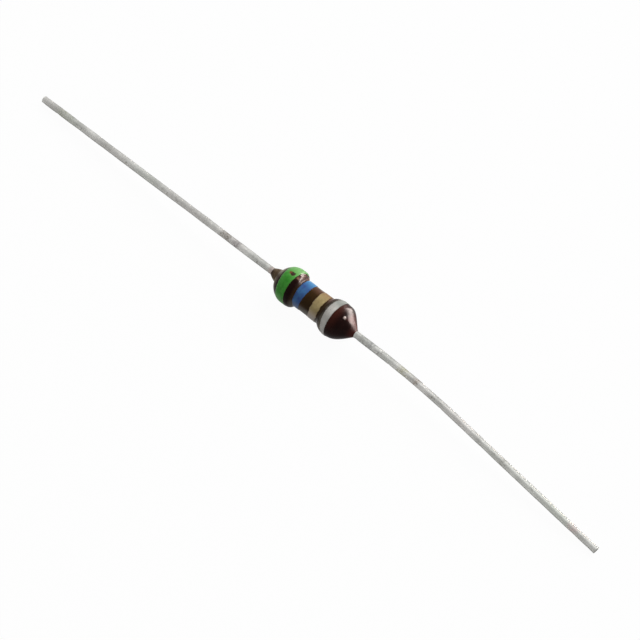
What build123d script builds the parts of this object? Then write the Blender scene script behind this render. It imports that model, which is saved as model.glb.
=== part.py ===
from build123d import *
from math import acos, atan2, cos, hypot, pi, radians, sin, tan
import os

# Axial-lead fixed inductor. A single layer of enamelled wire is wound on a ferrite bobbin. A tinned lead is
# cemented into each end of the bobbin, and each end of the wire is wrapped round its lead and soldered. The
# whole is dipped in epoxy, which takes the dog-bone shape of the bobbin, and carries four colour bands.
#
# Millimetres. +X runs along the body from the first colour band to the last, and +Z is up. The origin is in
# the middle of the body, on the surface that the body and the tips of its leads lie on. Every piece is drawn
# about the X axis and raised at the end. "First" and "last" name the two ends in the order of the bands.

# ---------------------------------------------------------------- driving dimensions
# Ferrite bobbin
WAIST_RADIUS = 0.69
FLANGE_RADIUS = 1.10
WINDOW_LENGTH = 2.90  # room for the winding, between the flanges
FLANGE_THICKNESS = 0.80
RIM_CHAMFER = 0.10
SOCKET_DEPTH = 0.76  # blind hole for a lead

# Enamelled wire
WIRE_RADIUS = 0.06
TURNS = 17.5
WINDING_END_ROOM = 0.155  # from a flange to the last turn
EXIT_BEND_RADIUS = 0.12
LEAD_WRAPS = 1.5
WIRE_SIDES = 6  # flats of the section that stands for the round wire
TURN_CHORDS = 14  # straight chords that stand for one turn
BEND_CHORDS = 3

# Leads
LEAD_RADIUS = 0.25
LEAD_REACH = 24.50  # from the middle of the body to a tip
SHEAR_ANGLE = 4.0  # by which the cut across a tip leans, so that the tip's top reaches furthest
FIRST_BEND_CORNER = 9.0  # from the middle of the body to where the two straight runs would meet
FIRST_BEND_RADIUS = 112.0
FIRST_TIP_SIDEWAYS = 0.37
LAST_BEND_CORNER = 8.4
LAST_BEND_RADIUS = 70.0
LAST_TIP_SIDEWAYS = -1.36

# Cement and solder
CEMENT_WALL = 0.04
SOLDER_COVER = 0.07  # over the wraps
SOLDER_TAIL = 0.10  # past the wraps, down to the lead

# Epoxy coat
COAT_OVER_WINDING = 0.10
COAT_OVER_FLANGES = 0.175
CROWN_SETBACK = 0.18  # from a flange's outer face back to where the full radius starts to round off
CROWN_ROUNDING = 0.62
CONE_ANGLE = 43.5
SHOULDER_SHARE = 0.95  # most of a shoulder's height that its rounding may take up
FILM_THICKNESS = 0.02  # of the epoxy where it ends on a lead
FIRST_FILLING = 0.19  # from the first flange to the waist, filled by the shoulder
FIRST_SHOULDER_ANGLE = 70.0
FIRST_SHOULDER_ROUNDING = 0.42
FIRST_CREEP_THICKNESS = 0.15  # of the epoxy drawn out along the lead, where it leaves the cone
FIRST_CREEP_LENGTH = 0.45
LAST_FILLING = 0.66
LAST_SHOULDER_ANGLE = 60.0
LAST_SHOULDER_ROUNDING = 0.62
LAST_CREEP_THICKNESS = 0.05
LAST_CREEP_LENGTH = 0.125

# Colour bands
PAINT_THICKNESS = 0.02
GREEN_WIDTH = 1.16
GREEN_OUTSET = 0.41  # of its middle, outwards from the middle of the first flange
BLUE_WIDTH = 0.67
BLUE_INSET = 0.01  # from the first shoulder
GOLD_WIDTH = 0.63
GOLD_INSET = 0.04  # from the last shoulder
SILVER_WIDTH = 0.62
SILVER_INSET = 0.30  # of its middle, inwards from the middle of the last flange

# Clearances
WINDING_CLEARANCE = 0.01  # under the wire, on the bobbin and on the leads
WRAP_SPACING = 0.01  # between one wrap on a lead and the next
NOTCH_CLEARANCE = 0.04  # on each side of the wire in its notch
FACE_CLEARANCE = 0.02  # between a flange's outer face and the wire that crosses it
POTTING_CLEARANCE = 0.005  # between the coat and what it encloses

# ---------------------------------------------------------------- sizes that follow
FLANGE_INNER = WINDOW_LENGTH / 2
FLANGE_OUTER = FLANGE_INNER + FLANGE_THICKNESS
FLANGE_MIDDLE = (FLANGE_INNER + FLANGE_OUTER) / 2
SOCKET_RADIUS = LEAD_RADIUS + CEMENT_WALL
LEAD_ROOT = FLANGE_OUTER - SOCKET_DEPTH + CEMENT_WALL
TURN_RADIUS = WAIST_RADIUS + WINDING_CLEARANCE + WIRE_RADIUS
TURN_PITCH = (WINDOW_LENGTH - 2 * WINDING_END_ROOM) / TURNS
NOTCH_WIDTH = 2 * (WIRE_RADIUS + NOTCH_CLEARANCE)
WRAP_RADIUS = LEAD_RADIUS + WINDING_CLEARANCE + WIRE_RADIUS
WRAP_PITCH = 2 * WIRE_RADIUS + WRAP_SPACING
CORNER_RATIO = 1 / cos(pi / TURN_CHORDS)  # a chord's end stands this much further out than its middle
WRAP_START = FLANGE_OUTER + FACE_CLEARANCE + WIRE_RADIUS
WRAP_END = WRAP_START + LEAD_WRAPS * WRAP_PITCH + WIRE_RADIUS + WINDING_CLEARANCE
EXIT_TURN = TURNS / 2 + atan2(EXIT_BEND_RADIUS, TURN_RADIUS * CORNER_RATIO) / (2 * pi)
EXIT_RADIUS = hypot(EXIT_BEND_RADIUS, TURN_RADIUS * CORNER_RATIO)
WINDING_OUTER = EXIT_RADIUS + WIRE_RADIUS
WRAP_OUTER = WRAP_RADIUS * CORNER_RATIO + WIRE_RADIUS + WINDING_CLEARANCE
SOLDER_OUTER = WRAP_OUTER + SOLDER_COVER
SOLDER_END = WRAP_END + SOLDER_TAIL
COAT_WAIST_RADIUS = WINDING_OUTER + POTTING_CLEARANCE + COAT_OVER_WINDING
COAT_END_RADIUS = FLANGE_RADIUS + POTTING_CLEARANCE + COAT_OVER_FLANGES
CROWN_CORNER = FLANGE_OUTER - CROWN_SETBACK + CROWN_ROUNDING * tan(radians(CONE_ANGLE / 2))
FILM_RADIUS = LEAD_RADIUS + FILM_THICKNESS
FIRST_WAIST_EDGE = FLANGE_INNER - FIRST_FILLING
LAST_WAIST_EDGE = FLANGE_INNER - LAST_FILLING
REST_HEIGHT = COAT_END_RADIUS + PAINT_THICKNESS


def rod(radius, start, end):
    """Cylinder about the X axis, from one place along it to another."""
    middle = (start + end) / 2
    return Pos(X=middle) * Rot(Y=90) * Cylinder(radius, abs(end - start))


def flange(side):
    """Disc at one end of the bobbin, with both rims chamfered."""
    disc = rod(FLANGE_RADIUS, side * FLANGE_INNER, side * FLANGE_OUTER)
    return chamfer(disc.edges().filter_by(GeomType.CIRCLE), RIM_CHAMFER)


def exit_notch(side):
    """Slot from a flange's rim down to the waist, where the wire leaves the winding."""
    depth = FLANGE_RADIUS - WAIST_RADIUS
    slot = Box(FLANGE_THICKNESS, NOTCH_WIDTH, depth, align=(Align.CENTER, Align.CENTER, Align.MIN))
    return Rot(X=-side * 360 * EXIT_TURN) * Pos(X=side * FLANGE_MIDDLE, Z=WAIST_RADIUS) * slot


def ferrite_core():
    """Bobbin with a blind socket in each end and a notch through each flange."""
    core = rod(WAIST_RADIUS, -FLANGE_OUTER, FLANGE_OUTER)
    for side in (-1, 1):
        core += flange(side)
        core -= exit_notch(side)
        core -= rod(SOCKET_RADIUS, side * (FLANGE_OUTER - SOCKET_DEPTH), side * FLANGE_OUTER)
    return core


def about_axis(radius, turn, x):
    """Point at a radius from the X axis, a number of turns round from the top towards +Y."""
    return Vector(x, radius * sin(2 * pi * turn), radius * cos(2 * pi * turn))


def helix_chords(radius, first_turn, turns, start, pitch):
    """Ends of the chords whose middles touch a helix about the X axis."""
    count = round(turns * TURN_CHORDS)
    steps = [turns * step / count for step in range(count + 1)]
    return [about_axis(radius * CORNER_RATIO, first_turn + turn, start + pitch * turn) for turn in steps]


def quarter_bend(corner, arriving, leaving):
    """Points of the small bend that the wire makes between two directions at right angles."""
    angles = [pi / 2 * step / BEND_CHORDS for step in range(1, BEND_CHORDS + 1)]
    centre = corner - (arriving - leaving) * EXIT_BEND_RADIUS
    return [centre + (arriving * sin(angle) - leaving * cos(angle)) * EXIT_BEND_RADIUS for angle in angles]


def half_wire():
    """Points of the wire from the middle of the winding to its end on the last lead."""
    coil = helix_chords(TURN_RADIUS, 0, TURNS / 2, 0, TURN_PITCH)
    onward = about_axis(1, TURNS / 2 + 0.25, 0)
    coil_corner = coil[-1] + onward * EXIT_BEND_RADIUS
    outward = Vector(1, 0, 0)
    face_corner = Vector(WRAP_START, coil_corner.Y, coil_corner.Z)
    first_touch = EXIT_TURN + acos(WRAP_RADIUS / EXIT_RADIUS) / (2 * pi)
    wraps = helix_chords(WRAP_RADIUS, first_touch, LEAD_WRAPS, WRAP_START, WRAP_PITCH)
    inward = (wraps[0] - face_corner).normalized()
    return (
        coil
        + quarter_bend(coil_corner, onward, outward)
        + quarter_bend(face_corner, outward, inward)
        + wraps
    )


def coil_winding():
    """One wire: a wrap on the first lead, the coil on the bobbin and a wrap on the last lead.

    The wire is the same from its middle to either end: the first half is the last, turned half round about Z.
    """
    last_half = half_wire()
    first_half = [Vector(-point.X, -point.Y, point.Z) for point in reversed(last_half[1:])]
    points = first_half + last_half
    section = Plane(origin=points[0], z_dir=points[1] - points[0]) * RegularPolygon(WIRE_RADIUS, WIRE_SIDES)
    return sweep(section, path=Polyline(*points), transition=Transition.RIGHT)


def lead(side, bend_corner, bend_radius, sideways):
    """Wire from its socket, gently bent down to the surface below, with its tip sheared off at a lean."""
    root = Vector(side * LEAD_ROOT, 0, 0)
    corner = Vector(side * bend_corner, 0, 0)
    tip = Vector(side * LEAD_REACH, sideways, LEAD_RADIUS - REST_HEIGHT)
    outward = (tip - corner).normalized()
    past_tip = tip + outward * LEAD_RADIUS
    route = FilletPolyline(root, corner, past_tip, radius=bend_radius)
    section = Plane(origin=root, z_dir=corner - root) * Circle(LEAD_RADIUS)
    shear = Plane(origin=tip, z_dir=outward.rotate(Axis.Y, side * SHEAR_ANGLE))
    return split(sweep(section, path=route), bisect_by=shear, keep=Keep.BOTTOM)


def socket_cement(side):
    """Cup of cement that holds a lead in its socket."""
    cup = rod(SOCKET_RADIUS, side * (FLANGE_OUTER - SOCKET_DEPTH), side * FLANGE_OUTER)
    return cup - rod(LEAD_RADIUS, side * LEAD_ROOT, side * FLANGE_OUTER)


def solder_joint(side):
    """Bead of solder over a lead's wraps, which runs down onto the lead at its outer end."""
    start = WRAP_START + WIRE_RADIUS + WINDING_CLEARANCE
    section = make_face(
        Polyline(
            (start, WRAP_OUTER),
            (start, SOLDER_OUTER),
            (WRAP_END, SOLDER_OUTER),
            (SOLDER_END, LEAD_RADIUS),
            (WRAP_END, LEAD_RADIUS),
            (WRAP_END, WRAP_OUTER),
            close=True,
        )
    )
    bead = revolve(section, Axis.X)
    return bead if side > 0 else mirror(bead, Plane.YZ)


def end_outline(waist_edge, shoulder_angle, shoulder_rounding, creep_thickness, creep_length):
    """Corners of the coat's outline at one end, from the waist outwards, and the rounding of each."""
    rise = COAT_END_RADIUS - COAT_WAIST_RADIUS
    shoulder_length = rise / sin(radians(shoulder_angle))
    widest_rounding = shoulder_length / tan(radians(shoulder_angle / 2))
    creep_radius = LEAD_RADIUS + creep_thickness
    creep_start = CROWN_CORNER + (COAT_END_RADIUS - creep_radius) / tan(radians(CONE_ANGLE))
    corners = [
        (waist_edge, COAT_WAIST_RADIUS),
        (waist_edge + rise / tan(radians(shoulder_angle)), COAT_END_RADIUS),
        (CROWN_CORNER, COAT_END_RADIUS),
        (creep_start, creep_radius),
        (creep_start + creep_length, FILM_RADIUS),
    ]
    sharp = 0
    return corners, [sharp, min(shoulder_rounding, SHOULDER_SHARE * widest_rounding), CROWN_ROUNDING, sharp]


def coat_corners():
    """Corners and roundings of the coat's outline from the first lead to the last."""
    first_corners, first_rounding = end_outline(
        FIRST_WAIST_EDGE,
        FIRST_SHOULDER_ANGLE,
        FIRST_SHOULDER_ROUNDING,
        FIRST_CREEP_THICKNESS,
        FIRST_CREEP_LENGTH,
    )
    last_corners, last_rounding = end_outline(
        LAST_WAIST_EDGE,
        LAST_SHOULDER_ANGLE,
        LAST_SHOULDER_ROUNDING,
        LAST_CREEP_THICKNESS,
        LAST_CREEP_LENGTH,
    )
    corners = [(-place, radius) for place, radius in reversed(first_corners)] + last_corners
    return corners, first_rounding[::-1] + last_rounding


def coat_section():
    """Half section of the dipped body, down to the axis."""
    corners, rounding = coat_corners()
    outline = FilletPolyline(*corners, radius=rounding)
    first_end, last_end = corners[0][0], corners[-1][0]
    axis = Polyline(corners[-1], (last_end, 0), (first_end, 0), corners[0])
    return make_face(outline.edges() + axis.edges())


def coat_room():
    """Room inside the coat for the wound bobbin, the crossing wires, the solder and the leads."""
    crossing_end = WRAP_START + WIRE_RADIUS
    stretches = [
        (WINDING_OUTER, 0, crossing_end),
        (FLANGE_RADIUS, FLANGE_INNER, FLANGE_OUTER),
        (SOLDER_OUTER, crossing_end, SOLDER_END),
    ]
    corners, _ = coat_corners()
    room = rod(LEAD_RADIUS, corners[0][0], corners[-1][0])
    for radius, inner, outer in stretches:
        for side in (-1, 1):
            start = side * (inner - POTTING_CLEARANCE)
            end = side * (outer + POTTING_CLEARANCE)
            room += rod(radius + POTTING_CLEARANCE, start, end)
    return room


def epoxy_coating():
    """Dipped coat: thin over the winding, full over the flanges and drawn down to a film on each lead."""
    return revolve(coat_section(), Axis.X) - coat_room()


def colour_band(middle, width):
    """Ring of paint that follows the coat's outline."""
    section = coat_section()
    paint = offset(section, PAINT_THICKNESS) - section
    stretch = Rectangle(width, 2 * COAT_END_RADIUS, align=(Align.CENTER, Align.MIN))
    return revolve(paint & Pos(X=middle, Y=LEAD_RADIUS) * stretch, Axis.X)


def pieces():
    """Every piece of the inductor by name."""
    named = {
        "band_1_green": colour_band(-FLANGE_MIDDLE - GREEN_OUTSET, GREEN_WIDTH),
        "band_2_blue": colour_band(-FIRST_WAIST_EDGE + BLUE_INSET + BLUE_WIDTH / 2, BLUE_WIDTH),
        "band_3_gold": colour_band(LAST_WAIST_EDGE - GOLD_INSET - GOLD_WIDTH / 2, GOLD_WIDTH),
        "band_4_silver": colour_band(FLANGE_MIDDLE - SILVER_INSET, SILVER_WIDTH),
        "ferrite_core": ferrite_core(),
        "coil_winding": coil_winding(),
        "lead_first": lead(-1, FIRST_BEND_CORNER, FIRST_BEND_RADIUS, FIRST_TIP_SIDEWAYS),
        "lead_last": lead(1, LAST_BEND_CORNER, LAST_BEND_RADIUS, LAST_TIP_SIDEWAYS),
        "epoxy_coating": epoxy_coating(),
    }
    for end_name, side in (("first", -1), ("last", 1)):
        named["socket_cement_" + end_name] = socket_cement(side)
        named["solder_joint_" + end_name] = solder_joint(side)
    return named


os.makedirs("parts", exist_ok=True)
for name, piece in pieces().items():
    export_step(Pos(Z=REST_HEIGHT) * piece, "parts/" + name + ".step")
    print(name, round(piece.volume, 4))
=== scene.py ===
# %% [markdown]
# # Dressing an axial inductor
#
# A fixed inductor of this kind is a coil on a ferrite bobbin, dipped in dark epoxy, with four bands of
# paint and two leads of tinned copper. Its construction comes from a CAD model. This lesson gives it the
# surface that the real one has: epoxy that creeps out along the leads, paint with uneven edges, and wire
# with nicks in it.
#
# The CAD model is loaded first and is never changed. Each new piece is placed by the boxes of its parts.

# %% Load the CAD model
from math import cos, pi, radians, sin, tan

import bmesh
import bpy
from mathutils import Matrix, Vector


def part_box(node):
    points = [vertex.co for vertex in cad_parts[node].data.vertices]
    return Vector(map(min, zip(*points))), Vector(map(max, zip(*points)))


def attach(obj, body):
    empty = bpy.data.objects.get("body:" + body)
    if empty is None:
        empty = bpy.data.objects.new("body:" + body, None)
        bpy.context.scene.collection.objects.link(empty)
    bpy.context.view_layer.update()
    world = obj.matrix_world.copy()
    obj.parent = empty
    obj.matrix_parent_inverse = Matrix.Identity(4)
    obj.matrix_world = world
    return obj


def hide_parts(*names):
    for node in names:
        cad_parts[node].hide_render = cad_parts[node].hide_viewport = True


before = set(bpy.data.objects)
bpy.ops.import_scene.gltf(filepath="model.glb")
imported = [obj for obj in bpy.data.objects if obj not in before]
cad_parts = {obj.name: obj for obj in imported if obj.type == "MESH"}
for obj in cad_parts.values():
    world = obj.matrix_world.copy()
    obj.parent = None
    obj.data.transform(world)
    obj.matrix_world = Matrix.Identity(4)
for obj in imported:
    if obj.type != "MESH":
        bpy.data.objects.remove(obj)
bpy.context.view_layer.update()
mm = 0.001
coat_low, coat_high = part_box("epoxy_coating")
axis_height = (coat_low.z + coat_high.z) / 2
coat_radius_most = (coat_high.z - coat_low.z) / 2
print("body axis", round(axis_height / mm, 3), "mm up; coat radius", round(coat_radius_most / mm, 3), "mm")

# %% [markdown]
# ## The camera
#
# The camera comes before the pieces, because it decides how fine each of them has to be. A long lens from a
# fifth of a metre away keeps the two leads nearly parallel. It is aimed by turning its own -Z axis to the
# target.

# %% Aim the camera
CAMERA_AZIMUTH = radians(41.2)
CAMERA_ELEVATION = radians(60.4)
CAMERA_DISTANCE = 0.220
CAMERA_LENS = 191.7  # mm, on a sensor 36 mm wide
TARGET_RIGHT = 0.325 * mm  # from the middle of the body to the middle of the view
TARGET_DOWN = 1.071 * mm

level = cos(CAMERA_ELEVATION)
to_camera = Vector((sin(CAMERA_AZIMUTH) * level, -cos(CAMERA_AZIMUTH) * level, sin(CAMERA_ELEVATION)))
view_right = Vector((cos(CAMERA_AZIMUTH), sin(CAMERA_AZIMUTH), 0))
view_up = to_camera.cross(view_right)
target = Vector((0, 0, axis_height)) + view_right * TARGET_RIGHT - view_up * TARGET_DOWN

camera = bpy.data.objects.new("camera", bpy.data.cameras.new("camera"))
camera.data.lens = CAMERA_LENS
camera.data.clip_start = 0.01
camera.location = target + to_camera * CAMERA_DISTANCE
camera.rotation_euler = to_camera.to_track_quat("Z", "Y").to_euler()
bpy.context.scene.collection.objects.link(camera)
bpy.context.scene.camera = camera
bpy.context.scene.view_settings.view_transform = "Standard"
print("camera at", [round(c, 4) for c in camera.location])

# %% [markdown]
# ## Sums written as sums
#
# Both materials and shapes are worked out here by networks of nodes. A network is easier to read as a
# formula, so one small class wraps a socket and turns `1 - mask * 2` into Math nodes. Every other node
# comes from one method. It takes the node's type, then its settings, then the values or links of its
# sockets.

# %% A signal and a network
class Signal:
    """The value that a node puts out. Arithmetic on it adds Math nodes to its network."""

    def __init__(self, net, socket):
        self.net = net
        self.socket = socket

    def math(self, operation, *others, first=None):
        """One Math node with this signal and others, or with another value first."""
        values = (self, *others) if first is None else (first, self)
        return self.net.node("ShaderNodeMath", {"operation": operation}, dict(enumerate(values)))

    def __add__(self, other):
        return self.math("ADD", other)

    def __sub__(self, other):
        return self.math("SUBTRACT", other)

    def __rsub__(self, other):
        return self.math("SUBTRACT", first=other)

    def __mul__(self, other):
        return self.math("MULTIPLY", other)

    def __truediv__(self, other):
        return self.math("DIVIDE", other)

    def __pow__(self, other):
        return self.math("POWER", other)

    def __gt__(self, other):
        return self.math("GREATER_THAN", other)

    def __lt__(self, other):
        return self.math("LESS_THAN", other)

    __radd__ = __add__
    __rmul__ = __mul__


class Network:
    """A node tree while it is being built."""

    def __init__(self, tree):
        self.tree = tree

    def node(self, kind, settings=None, sockets=None, output=0):
        """Add a node, set it up, then give its sockets values or links."""
        made = self.tree.nodes.new(kind)
        for name, value in (settings or {}).items():
            setattr(made, name, value)
        for key, value in (sockets or {}).items():
            if isinstance(value, Signal):
                self.tree.links.new(value.socket, made.inputs[key])
            else:
                made.inputs[key].default_value = value
        return Signal(self, made.outputs[output])

    def between(self, value, low, high):
        """0 where a value is below low, 1 where it is above high, and an even rise from one to the other."""
        sockets = {"Value": value, "From Min": low, "From Max": high}
        return self.node("ShaderNodeMapRange", {"clamp": True}, sockets)

    def smooth_between(self, value, low, high):
        """As between, but with a soft start and end."""
        sockets = {"Value": value, "From Min": low, "From Max": high}
        return self.node("ShaderNodeMapRange", {"clamp": True, "interpolation_type": "SMOOTHSTEP"}, sockets)

    def zone(self, value, places):
        """1 in a zone with soft sides; the four places are where it starts, is full, fades and is gone."""
        start, full, fading, gone = places
        return self.smooth_between(value, start, full) * (1 - self.smooth_between(value, fading, gone))

    def vector(self, x, y, z):
        """A vector from three values."""
        return self.node("ShaderNodeCombineXYZ", sockets={0: x, 1: y, 2: z})

    def vector_math(self, operation, first, second, output=0):
        """One Vector Math node."""
        sockets = {0: first}
        sockets["Scale" if operation == "SCALE" else 1] = second
        return self.node("ShaderNodeVectorMath", {"operation": operation}, sockets, output)

    def part(self, vector, axis):
        """One of a vector's three values: X, Y or Z."""
        return self.node("ShaderNodeSeparateXYZ", sockets={0: vector}, output=axis)

    def distance(self, first, second):
        """How far two places are from each other."""
        return self.vector_math("DISTANCE", first, second, 1)

    def mix(self, factor, first, second):
        """A colour between two others."""
        return self.node("ShaderNodeMix", {"data_type": "RGBA"}, {0: factor, 6: first, 7: second}, output=2)

    def layered(self, colour, layers):
        """A colour with others laid over it in turn, each by its own share."""
        for share, tint in layers:
            colour = self.mix(share, colour, tint)
        return colour

    def keep(self, geometry, name, value, data_type="FLOAT", domain="POINT"):
        """Store a value on a geometry under a name."""
        settings = {"data_type": data_type, "domain": domain}
        sockets = {"Geometry": geometry, "Name": name, "Value": value}
        return self.node("GeometryNodeStoreNamedAttribute", settings, sockets)

    def kept(self, name, data_type="FLOAT"):
        """Read back a value that was stored on a geometry."""
        return self.node("GeometryNodeInputNamedAttribute", {"data_type": data_type}, {"Name": name})

    def noise(self, place, scale, detail=2.0, roughness=0.5):
        """Soft noise from about 0.2 to 0.8, at a scale in lumps per metre."""
        sockets = {"Vector": place, "Scale": scale, "Detail": detail, "Roughness": roughness}
        return self.node("ShaderNodeTexNoise", sockets=sockets)

    def spots(self, place, scale, detail, roughness, start, full):
        """Scattered spots: 0 where a noise is below start, 1 where it is above full."""
        return self.smooth_between(self.noise(place, scale, detail, roughness), start, full)

    def bump(self, relief, height, strength=0.6):
        """A normal that leans as if the surface stood up by a height wherever the relief is 1."""
        sockets = {"Height": relief, "Distance": height, "Strength": strength}
        return self.node("ShaderNodeBump", sockets=sockets)


print("Signal and Network are ready")

# %% [markdown]
# ## From a geometry tree to a plain mesh
#
# Geometry Nodes suit shapes that follow a rule, because the rule stays readable and its sizes are named
# inputs. What a tree makes is kept as an ordinary mesh, so that the pieces can be exported. A modifier's
# input has an identifier as well as a name, and only the identifier can be set from Python.

# %% Helpers for geometry trees
def start_tree(title, sizes):
    """A geometry tree with named inputs for sizes and a material; gives back its network and those inputs."""
    tree = bpy.data.node_groups.new(title, "GeometryNodeTree")
    tree.interface.new_socket("Geometry", in_out="INPUT", socket_type="NodeSocketGeometry")
    for name, kind in sizes.items():
        tree.interface.new_socket(name, in_out="INPUT", socket_type=kind)
    tree.interface.new_socket("Material", in_out="INPUT", socket_type="NodeSocketMaterial")
    tree.interface.new_socket("Geometry", in_out="OUTPUT", socket_type="NodeSocketGeometry")
    entry = tree.nodes.new("NodeGroupInput")
    net = Network(tree)
    inputs = {socket.name: Signal(net, socket) for socket in entry.outputs if socket.name}
    return net, inputs


def end_tree(net, geometry, material, flat=None):
    """Close a tree: real geometry, smooth faces apart from the flat ones, a material, out."""
    real = net.node("GeometryNodeRealizeInstances", sockets={0: geometry})
    smoothed = True if flat is None else 1 - flat
    smooth = net.node("GeometryNodeSetShadeSmooth", sockets={"Geometry": real, "Shade Smooth": smoothed})
    painted = net.node("GeometryNodeSetMaterial", sockets={"Geometry": smooth, "Material": material})
    exit_node = net.tree.nodes.new("NodeGroupOutput")
    net.tree.links.new(painted.socket, exit_node.inputs[0])
    return net.tree


def grow(name, tree, sizes, seed_points=()):
    """Run a tree on a chain of points and keep the result as a plain mesh object."""
    seed = bpy.data.meshes.new(name)
    links = [(first, first + 1) for first in range(len(seed_points) - 1)]
    seed.from_pydata(seed_points, links, [])
    source = bpy.data.objects.new(name + "_source", seed)
    bpy.context.scene.collection.objects.link(source)
    modifier = source.modifiers.new("shape", "NODES")
    modifier.node_group = tree
    for item in tree.interface.items_tree:
        if item.in_out == "INPUT" and item.name in sizes:
            modifier[item.identifier] = sizes[item.name]
    evaluated = source.evaluated_get(bpy.context.evaluated_depsgraph_get())
    grown = bpy.data.meshes.new_from_object(evaluated)
    bpy.data.objects.remove(source)
    bpy.data.meshes.remove(seed)
    grown.name = name
    piece = bpy.data.objects.new(name, grown)
    bpy.context.scene.collection.objects.link(piece)
    return piece


def describe(piece):
    """Print a piece's size, its faces and whether it is closed and faces outwards."""
    probe = bmesh.new()
    probe.from_mesh(piece.data)
    low = [round(min(v.co[i] for v in probe.verts) / mm, 3) for i in range(3)]
    high = [round(max(v.co[i] for v in probe.verts) / mm, 3) for i in range(3)]
    open_edges = sum(1 for edge in probe.edges if not edge.is_manifold)
    volume = probe.calc_volume(signed=True) / mm**3
    print(piece.name, "from", low, "to", high, "mm")
    print("   ", len(probe.faces), "faces;", open_edges, "open edges;", round(volume, 4), "cubic mm")
    probe.free()


# %% [markdown]
# ## The shape of the coat
#
# Epoxy takes the shape of what is dipped in it. Over the winding the coat is thin, over the two flanges it
# is full, and at each end it draws down to the lead. So its radius follows a rule along the axis: the
# waist, a rising shoulder, a crown, a falling nose and a creeping foot, joined by soft minimums and
# maximums that round the corners between them. The two ends differ, because the body dried hanging from one
# lead: there the nose is round and the epoxy crept out along the lead in a collar, while the other nose ran
# off in a straight cone.

# %% Sizes of the coat
WAIST_RADIUS = 1.005 * mm  # the shoulders' blends take off about 0.03 mm
WAIST_BLEND = 0.08 * mm
LEAD_RADIUS = 0.25 * mm
FOOT_RADIUS = LEAD_RADIUS + 0.004 * mm
CAP_RADIUS = LEAD_RADIUS - 0.03 * mm  # the coat's two end rings, hidden inside the leads
FOOT_BLEND = 0.10 * mm
ROUND_NOSE_LENGTH = 1.22 * mm  # first end
COLLAR_START = -coat_low.x - 0.07 * mm  # the collar's thin rim, from the middle of the body
CONE_SLOPE = tan(radians(44.5))  # last end
FIRST_END = {
    "waist_edge": 1.203 * mm,  # all places are distances from the middle of the body
    "shoulder_slope": tan(radians(64.6)),
    "shoulder_blend": 0.80 * mm,
    "shoulder_lean": 0.13 * mm,
    "nose_start": 1.94 * mm,
    "crown_blend": 0.001 * mm,
    "crown_blend_below": 0.0,
    "creep": 0.29 * mm,
    "creep_length": 0.94 * mm,
    "end": COLLAR_START,
}
LAST_END = {
    "waist_edge": 0.921 * mm,
    "shoulder_slope": tan(radians(49.2)),
    "shoulder_blend": 0.75 * mm,
    "shoulder_lean": -0.03 * mm,
    "nose_start": 2.41 * mm,
    "crown_blend": 0.62 * mm,
    "crown_blend_below": 0.23 * mm,
    "creep": 0.05 * mm,
    "creep_length": 0.50 * mm,
    "end": coat_high.x,
}
LEAN_TURN = 67 / 360  # from straight up, to the side that was the upper one while the body dried
LUMP_HEIGHT = 0.014 * mm
LUMP_SCALE = 900.0
RIDGE_SHARE = 0.06  # of the radius: a low ridge that the last drop left along the cone
RIDGE_TURN = 54 / 360
RIDGE_SHARPNESS = 12.0
RIDGE_RISE = (2.0 * mm, 2.6 * mm)  # along the axis, from nothing to its full height
WINDING_PITCH = 0.148 * mm  # of the wire under the waist, which shows through as faint ridges
print("coat from", round(-COLLAR_START / mm, 2), "to", round(coat_high.x / mm, 2), "mm along the axis")

# %% [markdown]
# The rule is written once and used twice: for the coat, and for the paint that lies on it.

# %% The coat's rule
WELD_DISTANCE = 1e-8
END_RINGS = 0.4995  # of a grid's length, from its middle: only the first and last rings lie farther out


def turned(angle, turn):
    """Cosine of how far an angle is from a turn: 1 on that side of the body and -1 on the far side."""
    return (angle - 2 * pi * turn).math("COSINE")


def coat_radius(net, x, angle):
    """Radius of the coat at a place along the axis and at an angle from straight up."""
    on_last_half = x > 0
    end = {name: on_last_half * (LAST_END[name] - first) + first for name, first in FIRST_END.items()}
    upper = turned(angle, LEAN_TURN)
    length = x.math("ABSOLUTE")
    edge = end["waist_edge"] + upper * end["shoulder_lean"]
    shoulder = (length - edge) * end["shoulder_slope"] + WAIST_RADIUS
    rising = shoulder.math("SMOOTH_MAX", WAIST_RADIUS, WAIST_BLEND)
    beyond = (length - end["nose_start"]).math("MAXIMUM", 0.0)
    round_nose = (1 - (beyond / ROUND_NOSE_LENGTH) ** 2).math("MAXIMUM", 0.0) ** 0.5 * coat_radius_most
    cone = coat_radius_most - (length - end["nose_start"]) * CONE_SLOPE
    nose = on_last_half * (cone - round_nose) + round_nose
    bare = 1 - net.between((end["end"] - length) / end["creep_length"], 0.0, 1.0)
    foot = (1 - bare * bare) * end["creep"] + FOOT_RADIUS
    falling = nose.math("SMOOTH_MAX", foot, FOOT_BLEND)
    crown_blend = end["crown_blend"] + (1 - upper) * end["crown_blend_below"] / 2
    crown = falling.math("SMOOTH_MIN", coat_radius_most, crown_blend)
    on_cone = net.smooth_between(x, *RIDGE_RISE)
    ridge = turned(angle, RIDGE_TURN).math("MAXIMUM", 0.0) ** RIDGE_SHARPNESS * on_cone * RIDGE_SHARE
    return rising.math("SMOOTH_MIN", crown, end["shoulder_blend"]) * (1 + ridge)


def skin_point(net, x, angle, height):
    """Point at a height over the coat. No coat is perfectly round, so a noise takes a little off."""
    across = angle.math("SINE")
    up = angle.math("COSINE")
    place = net.vector(x, across * WAIST_RADIUS, up * WAIST_RADIUS)
    lump = net.between(net.noise(place, LUMP_SCALE, 1.0), 0.25, 0.75) * LUMP_HEIGHT
    radius = coat_radius(net, x, angle) + height - lump
    return net.vector(x, across * radius, up * radius + axis_height)


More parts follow.
